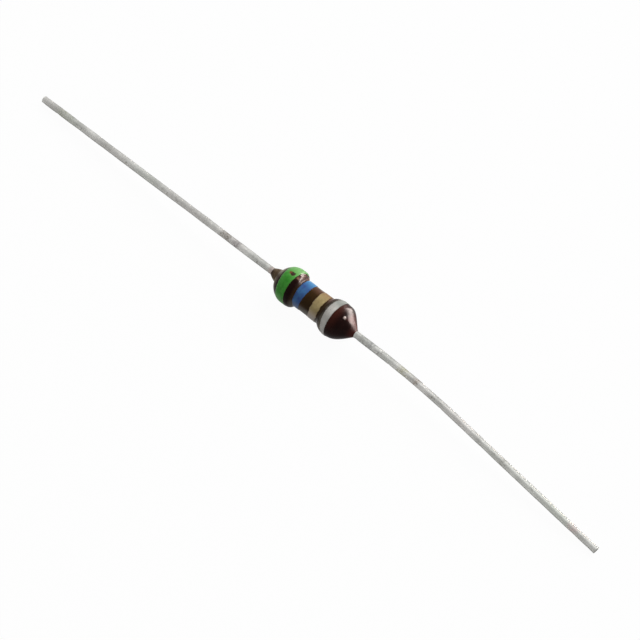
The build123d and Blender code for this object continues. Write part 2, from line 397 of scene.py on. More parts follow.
def unit_grid(net, along, round_about):
    """A flat grid to be wrapped into a skin, and its two coordinates: 0 to 1 along, and the angle round."""
    sockets = {"Size X": 1.0, "Size Y": 1.0, "Vertices X": along, "Vertices Y": round_about}
    grid = net.node("GeometryNodeMeshGrid", sockets=sockets)
    flat = net.node("GeometryNodeInputPosition")
    return grid, net.part(flat, "X") + 0.5, (net.part(flat, "Y") + 0.5) * (2 * pi)


def wrap(net, grid, points):
    """Move a grid's points onto a skin and weld its seam."""
    skin = net.node("GeometryNodeSetPosition", sockets={"Geometry": grid, "Position": points})
    return net.node("GeometryNodeMergeByDistance", sockets={"Geometry": skin, "Distance": WELD_DISTANCE})


def coat_tree():
    """A grid wrapped round the axis, its radius by the coat's rule, its end rings drawn into the leads."""
    sizes = {"Start": "NodeSocketFloat", "End": "NodeSocketFloat"}
    sizes.update({"Rings": "NodeSocketInt", "Points round": "NodeSocketInt"})
    net, inputs = start_tree("dipped_coat", sizes)
    grid, along, angle = unit_grid(net, inputs["Rings"], inputs["Points round"])
    x = inputs["Start"] + along * (inputs["End"] - inputs["Start"])
    from_middle = (along - 0.5).math("ABSOLUTE")
    drawn_in = (from_middle > END_RINGS) * (FOOT_RADIUS - CAP_RADIUS)
    skin = wrap(net, grid, skin_point(net, x, angle, drawn_in * -1))
    return end_tree(net, skin, inputs["Material"])


print("the rule takes", len(FIRST_END), "sizes for each end")

# %% [markdown]
# ## Paint
#
# Each colour band is a ring of paint that a wheel rolled onto the turning body. It has a little thickness,
# it thins out towards its edges, and the edges wander. The ring is the coat's skin again, raised by the
# paint's thickness, and folded under at both edges to make it a closed solid. How far a point is from the
# nearer edge is kept as an attribute, so that the material can let the dark epoxy through there.

# %% Paint ring
PAINT_THICKNESS = 0.02 * mm
PAINT_SUNK = 0.5  # of the thickness: how far its underside reaches into the coat, so that no gap shows
EDGE_FULLNESS = 10  # the higher, the nearer to its edge the paint keeps its thickness
FOLD = 0.5001  # of the grid: the rows up to here lie on top and the others below
FACING_TURN = -23 / 360  # from straight up, towards the side that lies nearest to the camera
FACING_BLEND = 0.2  # softens the line where a band's bow dies out


def edge_place(net, angle, edge, bow, lean, ragged, seed):
    """Where a band's edge runs at an angle: a place along the axis, bowed, leaning and ragged."""
    facing = turned(angle, FACING_TURN).math("SMOOTH_MAX", 0.0, FACING_BLEND)
    bowed = edge + bow * facing + lean * turned(angle, LEAN_TURN)
    ring = net.vector(angle.math("SINE"), angle.math("COSINE"), seed)
    slow = net.noise(ring, 1.3, 1.0) - 0.5
    fast = net.noise(ring, 7.0, 3.0, 0.7) - 0.5
    return bowed + ragged * (slow * 1.6 + fast * 1.2)


def paint_tree():
    """A ring that covers the coat between two wandering edges."""
    ways = ("edge", "bow", "lean")
    names = [which + " " + way for which in ("First", "Last") for way in ways]
    sizes = {name: "NodeSocketFloat" for name in (*names, "Ragged", "Seed")}
    sizes.update({"Points across": "NodeSocketInt", "Points round": "NodeSocketInt"})
    net, inputs = start_tree("paint_ring", sizes)
    grid, fold, angle = unit_grid(net, inputs["Points across"], inputs["Points round"])
    above = fold < FOLD
    across = 1 - (fold * 2 - 1).math("ABSOLUTE")
    ragged = inputs["Ragged"]
    seed = inputs["Seed"]
    first = edge_place(net, angle, *[inputs["First " + way] for way in ways], ragged, seed)
    last = edge_place(net, angle, *[inputs["Last " + way] for way in ways], ragged, seed + 5.0)
    x = first + across * (last - first)
    to_middle = (across * 2 - 1).math("ABSOLUTE")
    body = 1 - to_middle**EDGE_FULLNESS
    height = body * PAINT_THICKNESS * (above * (1 + PAINT_SUNK) - PAINT_SUNK)
    inset = (1 - to_middle) * (last - first) / 2
    kept = net.keep(grid, "inset", inset)
    ring = wrap(net, kept, skin_point(net, x, angle, height))
    return end_tree(net, ring, inputs["Material"])


print("paint is", round(PAINT_THICKNESS / mm, 3), "mm thick")

# %% [markdown]
# ## Leads
#
# A lead is drawn wire. A curve through three points with its corner rounded gives the gentle bend, and a
# circle swept along it gives the wire. Handling leaves dents and nicks, so points sink along their normals
# where a noise runs high. The end is sheared, which leaves a leaning flat face.

# %% Drawn wire
BEND_POINTS = 24
SHEAR_ANGLE = radians(4)
SHEAR_REACH = 0.4 * mm  # length of wire over which the lean of its end dies away
DENTS = (600.0, 1.0, 0.45, 0.80)  # lumps per metre, detail, and where on the noise they start and are deepest
NICKS = (2400.0, 2.0, 0.60, 0.74)
CUT_FACING = 0.7  # a face that looks this much along the wire belongs to its end


def hollows(net, place, pattern):
    """Hollows scattered over a surface: 0 where it is whole, 1 where they are deepest."""
    scale, detail, start, deepest = pattern
    return net.between(net.noise(place, scale, detail), start, deepest)


def wire_tree():
    """A circle swept along a rounded path, dented and nicked, its far end sheared."""
    names = ("Bend radius", "Wire radius", "Spacing", "Dent depth", "Nick depth", "Shear", "Seed")
    sizes = {name: "NodeSocketFloat" for name in names}
    sizes["Points round"] = "NodeSocketInt"
    net, inputs = start_tree("drawn_wire", sizes)
    path = net.node("GeometryNodeMeshToCurve", sockets={0: inputs["Geometry"]})
    sockets = {"Curve": path, "Count": BEND_POINTS, "Radius": inputs["Bend radius"]}
    bent = net.node("GeometryNodeFilletCurve", {"mode": "POLY"}, sockets)
    sockets = {"Curve": bent, "Length": inputs["Spacing"]}
    even = net.node("GeometryNodeResampleCurve", {"mode": "LENGTH"}, sockets)
    whole = net.node("GeometryNodeCurveLength", sockets={0: even})
    left = (1 - net.node("GeometryNodeSplineParameter")) * whole
    kept = net.keep(even, "left", left)
    kept = net.keep(kept, "centre", net.node("GeometryNodeInputPosition"), "FLOAT_VECTOR")
    kept = net.keep(kept, "along", net.node("GeometryNodeInputTangent"), "FLOAT_VECTOR")
    sockets = {"Resolution": inputs["Points round"], "Radius": inputs["Wire radius"]}
    circle = net.node("GeometryNodeCurvePrimitiveCircle", sockets=sockets)
    sockets = {"Curve": kept, "Profile Curve": circle, "Fill Caps": True}
    wire = net.node("GeometryNodeCurveToMesh", sockets=sockets)

    place = net.node("GeometryNodeInputPosition")
    along = net.kept("along", "FLOAT_VECTOR")
    outward = net.vector_math("SUBTRACT", place, net.kept("centre", "FLOAT_VECTOR"))
    shifted = net.vector_math("ADD", place, net.vector(inputs["Seed"], 0.0, 0.0))
    depth = hollows(net, shifted, DENTS) * inputs["Dent depth"]
    depth = depth + hollows(net, shifted, NICKS) * inputs["Nick depth"]
    sunk = net.vector_math("SCALE", outward, depth / inputs["Wire radius"] * -1)
    at_tip = 1 - net.between(net.kept("left"), 0.0, SHEAR_REACH)
    slid = net.vector_math("SCALE", along, net.part(outward, "Z") * at_tip * inputs["Shear"])
    offset = net.vector_math("ADD", sunk, slid)
    worn = net.node("GeometryNodeSetPosition", sockets={"Geometry": wire, "Offset": offset})
    facing = net.vector_math("DOT_PRODUCT", net.node("GeometryNodeInputNormal"), along, 1)
    marked = net.keep(worn, "cut", facing > CUT_FACING, domain="FACE")
    return end_tree(net, marked, inputs["Material"], flat=net.kept("cut"))


print("a sheared end leans by", round(2 * LEAD_RADIUS * tan(SHEAR_ANGLE) / mm, 3), "mm across the wire")

# %% [markdown]
# ## Colours
#
# The finishes are written as mixes of plain colours. A colour is easiest to judge as it looks on a screen,
# from 0 to 255, but the renderer works with light, so each one is converted once.

# %% Colour and material helpers
def tone(red, green, blue):
    """A colour given as it looks on a screen, made ready for a shader."""
    light = []
    for level in (red / 255, green / 255, blue / 255):
        light.append(level / 12.92 if level <= 0.04045 else ((level + 0.055) / 1.055) ** 2.4)
    return (*light, 1.0)


def start_material(name):
    """An empty node material and its network."""
    material = bpy.data.materials.new(name)
    material.use_nodes = True
    material.node_tree.nodes.clear()
    return material, Network(material.node_tree)


def end_material(net, sockets):
    """Close a material with its surface."""
    surface = net.node("ShaderNodeBsdfPrincipled", sockets=sockets)
    end = net.tree.nodes.new("ShaderNodeOutputMaterial")
    net.tree.links.new(surface.socket, end.inputs["Surface"])


def object_place(net):
    """The place on the object, as a vector and as its x, y and height over the axis."""
    place = net.node("ShaderNodeTexCoord", output="Object")
    return place, net.part(place, "X"), net.part(place, "Y"), net.part(place, "Z") - axis_height


print("a mid grey of 128 gives", round(tone(128, 128, 128)[0], 3), "of full light")


# %% [markdown]
# ## Epoxy
#
# The dip is a dark red-brown epoxy, nearly black where it is thick and warmer where it is thin: brown over
# the winding, reddish where it feathers out on the last lead, and dull olive-brown on the collar at the first
# lead. One colour could never say all that, so the material is a base colour with others laid over it in
# turn, each through a mask that says where it belongs. Most masks are zones along the axis. Some also ask how
# high a place lies on the side that was uppermost while the body dried: the lighter brown on top of the waist
# and of the rear shoulder is painted light, and so is the paler underside of the waist, as if the white floor
# lit it.

# %% Where a place lies on the coat
WAIST = (-1.42 * mm, -1.15 * mm, 1.00 * mm, 1.25 * mm)  # where a zone starts, is full, fades and is gone
REAR_SHOULDER = (-1.85 * mm, -1.65 * mm, -1.35 * mm, -1.20 * mm)
CROWN = (1.70 * mm, 1.85 * mm, 2.20 * mm, 2.50 * mm)
BESIDE_SILVER = (1.70 * mm, 1.85 * mm, 1.95 * mm, 2.50 * mm)
SCUFF = ((-1.57 * mm, 0.145 * mm, axis_height + 1.24 * mm), 0.11 * mm)  # middle and radius of a rubbed spot
BLISTER_AND_HIGHLIGHT = ((2.57 * mm, -0.02 * mm, axis_height + 1.10 * mm), 0.15 * mm)  # a bubble just under the skin; the near-white spot on it is a painted highlight
BLISTER_SHADE = ((2.60 * mm, -0.13 * mm, axis_height + 1.06 * mm), 0.06 * mm)  # a near-black spot beside it: painted shade
# painted light: the undersides of coat and paint are made paler, as if the white floor lit them
FLOOR_LIGHT_TONE = tone(172, 172, 168)
FLOOR_LIGHT_SHARE = 0.46


def towards(y, z, turn):
    """How far a place lies from the axis, measured towards a turn from straight up."""
    return y * sin(2 * pi * turn) + z * cos(2 * pi * turn)


def spot(net, place, mark, inner, outer, grain=0.5, ragged=0.0):
    """A round mark: 1 inside a share of its radius, 0 outside another, its edge made ragged by a noise."""
    centre, radius = mark
    away = net.distance(place, centre) + (grain - 0.5) * (radius * ragged)
    return 1 - net.smooth_between(away, radius * inner, radius * outer)


def painted_floor_light(net, x, y, z, grain):
    """How much painted light from the white floor a place gets: a little, unevenly, on the underside, and
    more towards +X.
    """
    radius = (y * y + z * z) ** 0.5
    lowest = net.smooth_between(towards(y, z, LEAN_TURN) * -1 / radius, 0.60, 0.92)
    towards_last = net.between(x, -3.5 * mm, 0.5 * mm)
    return lowest * towards_last * (net.between(grain, 0.3, 0.7) * 0.3 + 0.7) * FLOOR_LIGHT_SHARE


def epoxy_masks(net, place, x, y, z, mottle, fine):
    """Masks for what differs from place to place on the coat, by name; 1 is where it shows in full."""
    upper = towards(y, z, LEAN_TURN)
    wander = (mottle - 0.5) * (0.25 * mm)
    collar = 1 - net.smooth_between(x + wander, -2.84 * mm, -2.60 * mm)
    smear_place = x + towards(y, z, FACING_TURN) / coat_radius_most * (0.30 * mm) + wander * 1.5
    smear_end = 1 - net.smooth_between(x, 1.60 * mm, 1.80 * mm)
    waist = net.zone(x, WAIST)
    cone_end = net.smooth_between(x, 2.55 * mm, 2.85 * mm)
    by_green = net.smooth_between(x, -3.25 * mm, -2.95 * mm)
    return {
        "waist": waist,
        # painted light: the upper side of the coat
        "painted top light": net.between(upper, 0.45 * mm, 0.95 * mm),
        "shoulder": net.zone(x, REAR_SHOULDER) * net.between(upper, 0.35 * mm, 0.85 * mm),
        "fillet": net.smooth_between(x, -1.42 * mm, -1.34 * mm),
        "crown": net.zone(x, CROWN),
        "beside silver": net.zone(x, BESIDE_SILVER) * net.between(z, 0.30 * mm, 1.20 * mm),
        "smeared": net.smooth_between(smear_place, 1.32 * mm, 1.50 * mm) * smear_end,
        "lit through": cone_end * net.smooth_between(upper, 0.25 * mm, 0.50 * mm),
        "feathered": net.smooth_between(x + wander, 3.00 * mm, 3.45 * mm),
        "near last lead": net.smooth_between(x, 2.95 * mm, 3.30 * mm),
        "collar": collar,
        "by green": by_green * collar * net.between(upper, 0.0, 0.45 * mm),
        "foot": 1 - net.smooth_between(x + wander * 0.4, -3.57 * mm, -3.49 * mm),
        "specks": net.spots(place, 16000.0, 2.0, 0.7, 0.68, 0.76),
        "scuff": spot(net, place, SCUFF, 0.6, 1.1, fine, 1.6),
        "blister and painted highlight": spot(net, place, BLISTER_AND_HIGHLIGHT, 0.2, 1.0, fine, 1.0),
        "blister shade": spot(net, place, BLISTER_SHADE, 0.4, 1.0),
        "painted_floor_light": painted_floor_light(net, x, y, z, fine) * waist,
    }


print("masks for the coat are ready")

# %% [markdown]
# The masks now steer the colour, the roughness and the relief. The relief holds a faint orange peel, the
# ridges of the winding that show through the thin waist, and the blister's bulge.

# %% Dark epoxy
EPOXY_IOR = 1.12  # low, so that a white room greys the dark coat no more than it does on the real one
EPOXY_ROUGHNESS = 0.185
ROUGHER = {"specks": 0.30, "collar": 0.18, "scuff": 0.20, "crown": 0.08, "near last lead": 0.24}
RAISED = {"specks": 0.25, "blister and painted highlight": 7.0, "scuff": -0.6}  # in units of the orange peel
WINDING_SHOWS = 0.12
BLOOM = {"Sheen Weight": 0.10, "Sheen Roughness": 0.4}  # handled epoxy and paint go a little milky at the rim


def epoxy_colour(net, masks, mottle, fine):
    """Thick epoxy, with thin epoxy and one tint after another laid over it."""
    thick = net.mix(mottle, tone(14, 3, 2), tone(38, 11, 7))
    thin = net.mix(mottle, tone(36, 25, 7), tone(72, 48, 20))
    # painted light: the top of the waist is made a lighter, warmer brown
    thin = net.mix(masks["painted top light"] * 0.45, thin, tone(132, 88, 70))
    crust = net.mix(net.between(mottle, 0.35, 0.65), tone(70, 50, 36), tone(128, 112, 88))
    crust = net.mix(net.between(fine, 0.45, 0.8) * 0.5, crust, tone(60, 38, 28))
    rubbed = net.mix(net.between(fine, 0.4, 0.6), tone(150, 116, 90), tone(120, 30, 22))
    layers = [
        (masks["waist"], thin),
        # painted light: a lighter brown on top of the rear shoulder, round its highlight
        (masks["shoulder"] * net.between(fine, 0.35, 0.6) * 0.6, tone(128, 84, 70)),
        (masks["feathered"] * 0.45, tone(96, 44, 38)),
        (masks["beside silver"] * 0.4, tone(98, 48, 36)),
        (masks["lit through"] * 0.3, tone(112, 32, 26)),
        (masks["smeared"] * net.between(mottle, 0.25, 0.55) * 0.75, tone(116, 110, 95)),
        (masks["collar"] * 0.85, crust),
        (masks["by green"] * 0.6, tone(176, 170, 150)),
        (masks["foot"] * 0.7, tone(44, 30, 24)),
        (masks["scuff"] * 0.8, rubbed),
        (masks["specks"] * 0.35, tone(120, 96, 74)),
        # painted highlight: a near-white spot on the blister
        (masks["blister and painted highlight"], tone(216, 192, 184)),
        # painted shade: a near-black spot beside the blister
        (masks["blister shade"], tone(10, 2, 2)),
        # painted light from the floor, on the underside of the waist
        (masks["painted_floor_light"], FLOOR_LIGHT_TONE),
    ]
    return net.layered(thick, layers)


def dark_epoxy():
    """Glossy dark epoxy whose colour follows its thickness."""
    material, net = start_material("dark_epoxy")
    place, x, y, z = object_place(net)
    mottle = net.noise(place, 1400.0, 3.0, 0.6)
    fine = net.noise(place, 9000.0, 3.0, 0.6)
    masks = epoxy_masks(net, place, x, y, z, mottle, fine)
    roughness = net.between(fine, 0.4, 0.8) * 0.10 + EPOXY_ROUGHNESS
    for name, extra in ROUGHER.items():
        roughness = roughness + masks[name] * extra
    roughness = roughness + masks["shoulder"] * (masks["fillet"] * 0.36 + 0.03)
    ridges = (x * (2 * pi / WINDING_PITCH)).math("SINE") * masks["waist"]
    relief = net.noise(place, 2600.0, 3.0, 0.5) + ridges * WINDING_SHOWS
    for name, height in RAISED.items():
        relief = relief + masks[name] * height
    colour = epoxy_colour(net, masks, mottle, fine)
    sockets = {"Base Color": colour, "Roughness": roughness, "Normal": net.bump(relief, 0.008 * mm)}
    end_material(net, {**sockets, "IOR": EPOXY_IOR, **BLOOM})
    return material


print("dark epoxy is ready:", len(ROUGHER), "rougher places,", len(RAISED), "raised or sunk ones")

# %% [markdown]
# ## Paint finishes
#
# The four paints share one recipe, so it is a function of their colours. The wheel leaves streaks round the
# body, the edges stain and let the epoxy through, and there are pinholes. The upper side of each band is
# painted lighter on green and blue and darker on gold and silver, as painted light and shade, and the gold
# band is painted paler below as well, as painted light. Gold and silver paint have metal flakes, which show
# as a fine sparkle. The green band has a chip in it, where a red-brown crater shows.

# %% Paint
PAINT_IOR = 1.17
STREAK_SCALES = (9000.0, 900.0, 900.0)  # lumps per metre: narrow along the axis, long round the body
CHIP_SQUEEZE = (0.62, 1.0, 1.0)  # makes the chip longer along the axis than across it


def crater(net, place, x, chip, cloud):
    """A chip in the paint: how far inside it a place is, and the colour that shows there."""
    centre, radius = chip
    squeezed = net.vector_math("MULTIPLY", net.vector_math("SUBTRACT", place, centre), CHIP_SQUEEZE)
    ragged = (net.noise(place, 5200.0, 2.0, 0.7) - 0.5) * (radius * 1.4)
    away = net.distance(squeezed, (0, 0, 0)) + ragged
    inside = 1 - net.smooth_between(away, radius * 0.75, radius * 0.95)
    across = (x - centre[0]) / radius
    core = net.smooth_between(across + (cloud - 0.5) * 2.0, -0.55, -0.15)
    return inside, net.mix(core, tone(122, 72, 42), tone(48, 28, 8))


def paint_tint(net, place, upper_way, inset, cloud, streaks, fine, recipe):
    """A paint's colour: its own tones, then streaks, flakes, painted light and shade on its upper and lower
    sides, and stained edges.
    """
    light = recipe["light"]
    flakes = recipe.get("flakes", 0.0)
    base = net.mix(net.between(cloud, 0.35, 0.65), recipe["dark"], light)
    base = net.mix(0.5, recipe["colour"], base)
    layers = [
        (net.between(streaks, 0.45, 0.8) * 0.35, recipe["dark"]),
        (net.between(fine, 0.5, 0.8) * flakes, light),
        (net.spots(place, 11000.0, 2.0, 0.7, 0.60, 0.72) * (flakes + 0.2), light),
        # painted light and shade: the upper side's tint
        (net.between(upper_way, 0.50 * mm, 0.95 * mm) * 0.7, recipe["upper"]),
    ]
    # painted light: the gold band's underside is made paler
    if "painted light below" in recipe:
        layers.append((net.between(upper_way, -0.40 * mm, -0.90 * mm) * 0.7, recipe["painted light below"]))
    by_edge = 1 - net.between(inset, 0.0, 0.14 * mm)
    stained = net.spots(place, 5200.0, 3.0, 0.7, 0.56, 0.68) * by_edge
    layers.append((stained * 0.6, tone(132, 92, 80)))
    return net.layered(base, layers)


def paint(name, recipe):
    """A rolled-on paint with streaks, thin edges and pinholes, and a chip where its recipe has one."""
    material, net = start_material(name)
    place, x, y, z = object_place(net)
    streaks = net.noise(net.vector_math("MULTIPLY", place, STREAK_SCALES), 1.0, 3.0, 0.6)
    cloud = net.noise(place, 1500.0, 3.0, 0.6)
    fine = net.noise(place, 30000.0, 2.0, 0.6)
    inset = net.node("ShaderNodeAttribute", {"attribute_name": "inset"}, output="Fac")
    tint = paint_tint(net, place, towards(y, z, LEAN_TURN), inset, cloud, streaks, fine, recipe)
    wander = (net.noise(place, 14000.0, 3.0, 0.7) - 0.5) * (0.10 * mm)
    cover = net.smooth_between(inset + wander, 0.0, 0.04 * mm)
    bare = net.spots(place, 7000.0, 2.0, 0.6, recipe["pinholes"], recipe["pinholes"] + 0.04)
    hidden = cover * (1 - bare)
    relief = streaks * 0.5 + fine * 0.2 - bare * 0.8 + cover * 0.5
    roughness = streaks * 0.12 + fine * 0.06 + recipe["roughness"]
    under = tone(66, 42, 26)
    if "chip" in recipe:
        inside, crater_colour = crater(net, place, x, recipe["chip"], cloud)
        under = net.mix(inside, under, crater_colour)
        hidden = hidden * (1 - inside)
        relief = relief - inside * 3.0
        roughness = roughness + inside * 0.3
    roughness = roughness - (1 - hidden) * 0.12
    painted = net.mix(hidden, under, tint)
    # painted light from the floor, on the band's underside
    painted = net.mix(painted_floor_light(net, x, y, z, cloud), painted, FLOOR_LIGHT_TONE)
    sockets = {"Base Color": painted, "Roughness": roughness, "Normal": net.bump(relief, 0.005 * mm)}
    end_material(net, {**sockets, "IOR": PAINT_IOR, **BLOOM})
    return material


print("a paint takes its tints, roughness and pinholes from its recipe")

# %% Mix the four paints
CHIP = ((-2.07 * mm, 0.165 * mm, axis_height + 1.27 * mm), 0.19 * mm)  # its middle and its radius
PLAIN = {"pinholes": 0.70}  # where on the noise a pinhole starts: the higher, the fewer
METAL = {"flakes": 0.35, "roughness": 0.45, "pinholes": 0.68}
PAINTS = {
    "green_paint": {
        **PLAIN,
        "colour": tone(72, 164, 58),
        "dark": tone(46, 122, 36),
        "light": tone(108, 190, 90),
        # painted light: lighter on the upper side
        "upper": tone(118, 178, 100),
        "roughness": 0.28,
        "chip": CHIP,
    },
    "blue_paint": {
        **PLAIN,
        "colour": tone(62, 98, 158),
        "dark": tone(58, 54, 126),
        "light": tone(78, 136, 184),
        "upper": tone(84, 158, 206),
        # painted light: lighter on the upper side
        "roughness": 0.34,
    },
    "gold_paint": {
        **METAL,
        "colour": tone(176, 155, 110),
        "dark": tone(140, 120, 84),
        "light": tone(204, 186, 134),
        # painted shade: darker on the upper side
        "upper": tone(122, 80, 56),
        # painted light: paler on the underside
        "painted light below": tone(204, 190, 188),
    },
    "silver_paint": {
        **METAL,
        "colour": tone(206, 203, 196),
        "dark": tone(170, 165, 158),
        "light": tone(234, 232, 226),
        # painted shade: darker on the upper side
        "upper": tone(128, 134, 128),
    },
}
paints = {name: paint(name, recipe) for name, recipe in PAINTS.items()}
print(len(paints), "paints mixed")

# %% [markdown]
# ## Metals and the hidden parts
#
# Tin over copper wire is a soft, slightly uneven grey, with faint warm and cool tints and fine lines along
# the wire from drawing. Flux and fingers leave dull smears on it. Inside the coat are ferrite, enamelled
# copper, cement and solder. Nobody sees them unless the coat is taken off, but they get their own finishes,
# so that the model is whole.

# %% Tinned wire
TIN_METALLIC = 0.6  # tin that has dulled is part metal, part grey film
TIN_IOR = 1.3
TIN_RIM = (0.30, 0.30, 0.30, 1.0)  # keeps the metal's share of the shine low at a glancing angle
DRAWING_SCALES = (500.0, 11000.0, 11000.0)  # lumps per metre: long along the wire, narrow across it
COLLAR_STAIN = (3.63 * mm, 4.08 * mm)  # from the middle of the body: where epoxy still tints the first lead
SMEARS = [
    # place along the leads, reach and colour
    (-22.6 * mm, 1.10 * mm, tone(134, 138, 116)),
    (-7.7 * mm, 0.45 * mm, tone(96, 84, 66)),
    (-6.7 * mm, 0.55 * mm, tone(132, 124, 126)),
    (4.1 * mm, 0.90 * mm, tone(140, 140, 136)),
    (4.9 * mm, 0.50 * mm, tone(118, 118, 120)),
    (7.7 * mm, 0.60 * mm, tone(160, 158, 128)),
    (8.7 * mm, 0.45 * mm, tone(138, 122, 108)),
    (16.3 * mm, 0.35 * mm, tone(140, 138, 130)),
    (22.5 * mm, 0.60 * mm, tone(186, 166, 164)),
]


def tinned_wire():
    """Tinned copper: drawing lines, tints, dull patches, and a darker sheared end."""
    material, net = start_material("tinned_copper")
    place, x = object_place(net)[:2]
    lines = net.noise(net.vector_math("MULTIPLY", place, DRAWING_SCALES), 1.0, 3.0, 0.65)
    patches = net.noise(place, 900.0, 3.0, 0.6)
    fine = net.noise(place, 12000.0, 3.0, 0.65)
    warm = net.noise(net.vector_math("ADD", place, (0.3, 0.0, 0.0)), 260.0, 1.0)
    stains = net.spots(place, 2600.0, 3.0, 0.7, 0.58, 0.72)
    cut = net.node("ShaderNodeAttribute", {"attribute_name": "cut"}, output="Fac")
    from_body = x.math("ABSOLUTE") + (fine - 0.5) * (0.3 * mm)
    by_collar = (1 - net.smooth_between(from_body, *COLLAR_STAIN)) * (x < 0)
    layers = [
        (net.between(warm, 0.5, 0.7) * 0.3, tone(190, 182, 180)),
        ((1 - net.between(warm, 0.3, 0.48)) * 0.5, tone(178, 184, 174)),
        (by_collar * 0.5, tone(150, 118, 112)),
        (stains * 0.5, tone(124, 120, 110)),
    ]
    for smear_place, reach, smear_tone in SMEARS:
        away = (x + (patches - 0.5) * (1.6 * mm) - smear_place).math("ABSOLUTE")
        smear = (1 - net.smooth_between(away, 0.0, reach)) * net.between(fine, 0.35, 0.6)
        layers.append((smear * 0.75, smear_tone))
    layers.append((cut * 0.9, net.mix(fine, tone(66, 64, 50), tone(112, 108, 92))))
    tin = net.mix(net.between(patches, 0.35, 0.65), tone(176, 176, 172), tone(206, 206, 202))
    relief = lines * 0.5 + fine * 0.06 - stains * 0.4
    sockets = {
        "Base Color": net.layered(tin, layers),
        "Metallic": TIN_METALLIC - stains * 0.2 - cut * 0.4,
        "Roughness": 0.26 + net.between(patches, 0.35, 0.75) * 0.08 + stains * 0.15 + cut * 0.15,
        "Normal": net.bump(relief, 0.006 * mm, 0.15),
        "IOR": TIN_IOR,
        "Specular Tint": TIN_RIM,
    }
    end_material(net, sockets)
    return material


print("tinned wire is ready, with", len(SMEARS), "smears")


# %% Hidden finishes
def grainy(name, dark, light, scale, roughness, metallic=0.0, coat=0.0):
    """A mottled finish with grain and pores, for the parts inside the coat."""
    material, net = start_material(name)
    place = object_place(net)[0]
    cloud = net.noise(place, scale, 4.0, 0.6)
    grain = net.noise(place, scale * 9, 3.0, 0.7)
    pores = net.spots(place, scale * 4, 2.0, 0.6, 0.62, 0.70)
    colour = net.mix(net.between(cloud, 0.3, 0.7), dark, light)
    sockets = {"Base Color": net.mix(pores * 0.5, colour, dark), "Roughness": roughness + grain * 0.15}
    sockets.update({"Metallic": metallic, "Coat Weight": coat})
    sockets["Normal"] = net.bump(grain - pores * 1.5, 0.006 * mm)
    end_material(net, sockets)
    return material


hidden_finishes = {
    "ferrite": grainy("ferrite", tone(38, 37, 38), tone(66, 64, 64), 2500.0, 0.55),
    "enamelled_copper": grainy(
        "enamelled_copper", tone(132, 58, 22), tone(186, 96, 48), 1800.0, 0.22, metallic=0.8, coat=0.6
    ),
    "cement": grainy("cement", tone(176, 166, 142), tone(208, 200, 178), 3000.0, 0.75),
    "solder": grainy("solder", tone(150, 150, 150), tone(196, 196, 194), 2200.0, 0.28, metallic=0.95),
}
finish_of_part = {"ferrite_core": "ferrite", "coil_winding": "enamelled_copper"}
for end_name in ("first", "last"):
    finish_of_part["socket_cement_" + end_name] = "cement"
    finish_of_part["solder_joint_" + end_name] = "solder"
for node, finish in finish_of_part.items():
    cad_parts[node].data.materials.clear()
    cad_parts[node].data.materials.append(hidden_finishes[finish])
print(len(finish_of_part), "hidden parts finished")

# %% [markdown]
# ## Making the pieces
#
# Now the trees are run. Each new piece takes the place of the plain CAD part that it was made from. The
# grids are as fine as the camera needs: on the coat a step is about 0.016 mm along and 0.045 mm round.

# %% Dress the coat
def dress(piece, node):
    """Let a piece stand for a CAD part, which it hides, move with the body, and print its size."""
    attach(piece, "root")
    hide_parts(node)
    describe(piece)


sizes = {"Start": -COLLAR_START, "End": coat_high.x, "Rings": 440, "Points round": 181}
sizes["Material"] = dark_epoxy()
coat = grow("coat", coat_tree(), sizes)
dress(coat, "epoxy_coating")

# %% [markdown]
# A CAD band has straight edges. Each edge of the paint starts from its band's box and is then shifted,
# bowed towards the near side and leant, because the wheel never rolls quite square on a body that tapers.

# %% Dress the colour bands
BANDS = [
    # node, then for the first and the last edge, in mm: shift, bow and lean; then raggedness
    ("band_1_green", (0.36, -0.11, -0.15), (0.20, -0.25, 0.02), 0.035),
    ("band_2_blue", (0.14, -0.09, -0.05), (0.02, 0.05, 0.05), 0.035),
    ("band_3_gold", (0.04, 0.0, 0.0), (0.08, 0.01, 0.02), 0.11),
    ("band_4_silver", (0.34, -0.30, -0.05), (0.05, -0.07, 0.02), 0.035),
]
SEED_STEP = 11.0  # so far apart in the noise that no two bands wander alike
ring_of_paint = paint_tree()
bands = {}
for number, (node, first_edge, last_edge, ragged) in enumerate(BANDS):
    colour = node.split("_")[2]
    finish = colour + "_paint"
    low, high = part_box(node)
    sizes = {"Ragged": ragged * mm, "Seed": SEED_STEP * number, "Material": paints[finish]}
    sizes.update({"Points across": 41, "Points round": 361})
    for which, corner, (shift, bow, lean) in (("First", low, first_edge), ("Last", high, last_edge)):
        sizes[which + " edge"] = corner.x + shift * mm
        sizes[which + " bow"] = bow * mm
        sizes[which + " lean"] = lean * mm
    bands[colour] = grow(colour + "_band", ring_of_paint, sizes)
    dress(bands[colour], node)

# %% [markdown]
# A lead's path has three points: inside the body, at the corner of its bend, and at its tip, where it lies
# on the sheet. The first and the last come from the box of the CAD lead.

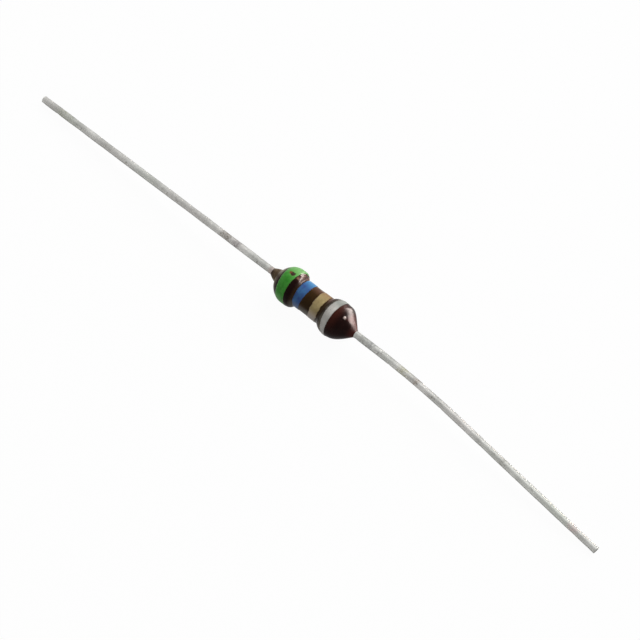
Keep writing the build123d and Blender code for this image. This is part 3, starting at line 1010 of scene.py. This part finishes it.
# %% Dress the leads
TIP_INSET = 0.040 * mm  # from the end of a lead's box back to the middle of its sheared face
leads = {
    "lead_first": {"side": -1, "corner": 9.0 * mm, "bend": 112.0 * mm},
    "lead_last": {"side": 1, "corner": 8.4 * mm, "bend": 70.0 * mm},
}
wire = wire_tree()
wire_finish = tinned_wire()
wires = []
for number, (node, lead) in enumerate(leads.items()):
    low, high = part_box(node)
    side = lead["side"]
    root_x, tip_x = (low.x, high.x - TIP_INSET) if side > 0 else (high.x, low.x + TIP_INSET)
    tip_y = low.y + LEAD_RADIUS if side > 0 else high.y - LEAD_RADIUS
    corner_x = side * lead["corner"]
    points = [(root_x, 0, axis_height), (corner_x, 0, axis_height), (tip_x, tip_y, LEAD_RADIUS)]
    sizes = {"Bend radius": lead["bend"], "Wire radius": LEAD_RADIUS, "Spacing": 0.05 * mm}
    sizes.update({"Points round": 48, "Dent depth": 0.020 * mm, "Nick depth": 0.025 * mm})
    sizes.update({"Shear": tan(SHEAR_ANGLE), "Seed": 0.1 + 0.1 * number, "Material": wire_finish})
    dressed = grow(node + "_wire", wire, sizes, points)
    dress(dressed, node)
    wires.append(dressed)

# %% [markdown]
# ## Floor and room
#
# The part lies on a white sheet in a white room. Both glow for the camera and for reflections, so that they
# are seen as white, and are plain for everything else, so that the sheet keeps a soft shadow. The sheet has
# a satin finish: at a glancing angle it mirrors a lamp behind the body, so the highlight on the coat runs
# on below the lamp's own image. In mirror images the far wall is a little brighter than the near one.

# %% White sheet
FLOOR_HALF = 4.0
SEEN_WHITE = 0.965  # share of the glow in what the camera sees of the sheet
MIRRORED_WHITE = 0.6  # and in what reflections see of it
SATIN_STRENGTH = 0.68
SATIN_IOR = 1.5
SATIN_FALLOFF = 1.5  # over 1, it keeps the satin to glancing angles
SATIN_TINT = (1.0, 0.95, 0.92)
SATIN_ROUGHNESS = 0.22
WHITE = (1, 1, 1, 1)


def seen_directly(net):
    """1 for the camera, for mirror images and through glass; 0 for the light that falls on things."""
    kinds = ("Is Camera Ray", "Is Glossy Ray", "Is Transmission Ray")
    camera_ray, mirror_ray, glass_ray = [net.node("ShaderNodeLightPath", output=kind) for kind in kinds]
    return camera_ray + mirror_ray + glass_ray


floor_mesh = bpy.data.meshes.new("floor")
corners = [(x * FLOOR_HALF, y * FLOOR_HALF, 0) for x, y in ((-1, -1), (1, -1), (1, 1), (-1, 1))]
floor_mesh.from_pydata(corners, [], [(0, 1, 2, 3)])
floor = bpy.data.objects.new("floor", floor_mesh)
bpy.context.scene.collection.objects.link(floor)
paper, net = start_material("white_paper")
sheet = net.node("ShaderNodeBsdfDiffuse", sockets={"Color": tone(244, 244, 244)})
glow = net.node("ShaderNodeEmission", sockets={"Color": WHITE, "Strength": 1.0})
mirrored = net.node("ShaderNodeLightPath", output="Is Glossy Ray")
share = seen_directly(net) * SEEN_WHITE - mirrored * (SEEN_WHITE - MIRRORED_WHITE)
both = net.node("ShaderNodeMixShader", sockets={0: share, 1: sheet, 2: glow})
glance = net.node("ShaderNodeFresnel", sockets={"IOR": SATIN_IOR}) ** SATIN_FALLOFF
glance = glance * mirrored * SATIN_STRENGTH
satin_colour = net.vector(*[glance * level for level in SATIN_TINT])
satin = net.node("ShaderNodeBsdfGlossy", sockets={"Color": satin_colour, "Roughness": SATIN_ROUGHNESS})
surface = net.node("ShaderNodeAddShader", sockets={0: both, 1: satin})
paper_end = net.tree.nodes.new("ShaderNodeOutputMaterial")
net.tree.links.new(surface.socket, paper_end.inputs["Surface"])
floor_mesh.materials.append(paper)
print("sheet", 2 * FLOOR_HALF, "m wide")

# %% White room
ROOM_LIGHT = 0.27  # what the walls give; they look white all the same
FAR_WALL_EXTRA = 0.10
world = bpy.data.worlds.new("room")
bpy.context.scene.world = world
world.use_nodes = True
world.node_tree.nodes.clear()
net = Network(world.node_tree)
towards_far_wall = net.part(net.node("ShaderNodeTexCoord", output="Generated"), "Y")
mirrored = net.node("ShaderNodeLightPath", output="Is Glossy Ray")
strength = seen_directly(net) * (1 - ROOM_LIGHT) + ROOM_LIGHT + mirrored * towards_far_wall * FAR_WALL_EXTRA
walls = net.node("ShaderNodeBackground", sockets={"Color": WHITE, "Strength": strength})
world_end = world.node_tree.nodes.new("ShaderNodeOutputWorld")
world.node_tree.links.new(walls.socket, world_end.inputs["Surface"])
print("room light", ROOM_LIGHT)

# %% [markdown]
# ## Lamps
#
# The light is split, as it often is in a studio, so that each part of it can be set without upsetting the
# others. A broad panel gives the level and the shading. A low, bright window on the far side gives the coat
# its highlights, and a dim piece of sky gives the leads their shine; neither adds to the level. The camera
# sees no lamp. Light linking decides what a lamp reaches: the window lights the coat, the green band and
# the sheet, and the sky lights the leads only.

# %% Hang the lamps
def soft_box(name, gives, direction, distance, size, radiance, colour=(1.0, 1.0, 1.0)):
    """A rectangular lamp aimed at the body, for shade or for shine; radiance is how bright it looks."""
    lamp = bpy.data.lights.new(name, "AREA")
    lamp.shape = "RECTANGLE"
    lamp.size, lamp.size_y = size
    lamp.energy = radiance * pi * size[0] * size[1]
    lamp.color = colour
    holder = bpy.data.objects.new(name, lamp)
    aim = Vector(direction).normalized()
    holder.location = Vector((0, 0, axis_height)) + aim * distance
    holder.rotation_euler = aim.to_track_quat("Z", "Y").to_euler()
    holder.visible_camera = False
    holder.visible_glossy = gives == "shine"
    holder.visible_diffuse = gives == "shade"
    bpy.context.scene.collection.objects.link(holder)
    print(name, "gives", gives, "with", round(lamp.energy, 2), "W")
    return holder


def light_only(lamp, lit):
    """Let a lamp light these pieces and nothing else."""
    receivers = bpy.data.collections.new("lit_by_the_" + lamp.name)
    for piece in lit:
        receivers.objects.link(piece)
    lamp.light_linking.receiver_collection = receivers


soft_box("panel", "shade", (0.10, 0.78, 0.62), 0.50, (0.40, 0.40), 4.8)
window = soft_box("window", "shine", (0.43, 0.89, 0.215), 0.40, (0.48, 0.167), 110.0, (1.0, 0.90, 0.85))
sky = soft_box("sky", "shine", (0.135, 0.559, 0.829), 0.50, (0.435, 0.60), 0.66)
light_only(window, [coat, bands["green"], floor])
light_only(sky, wires)
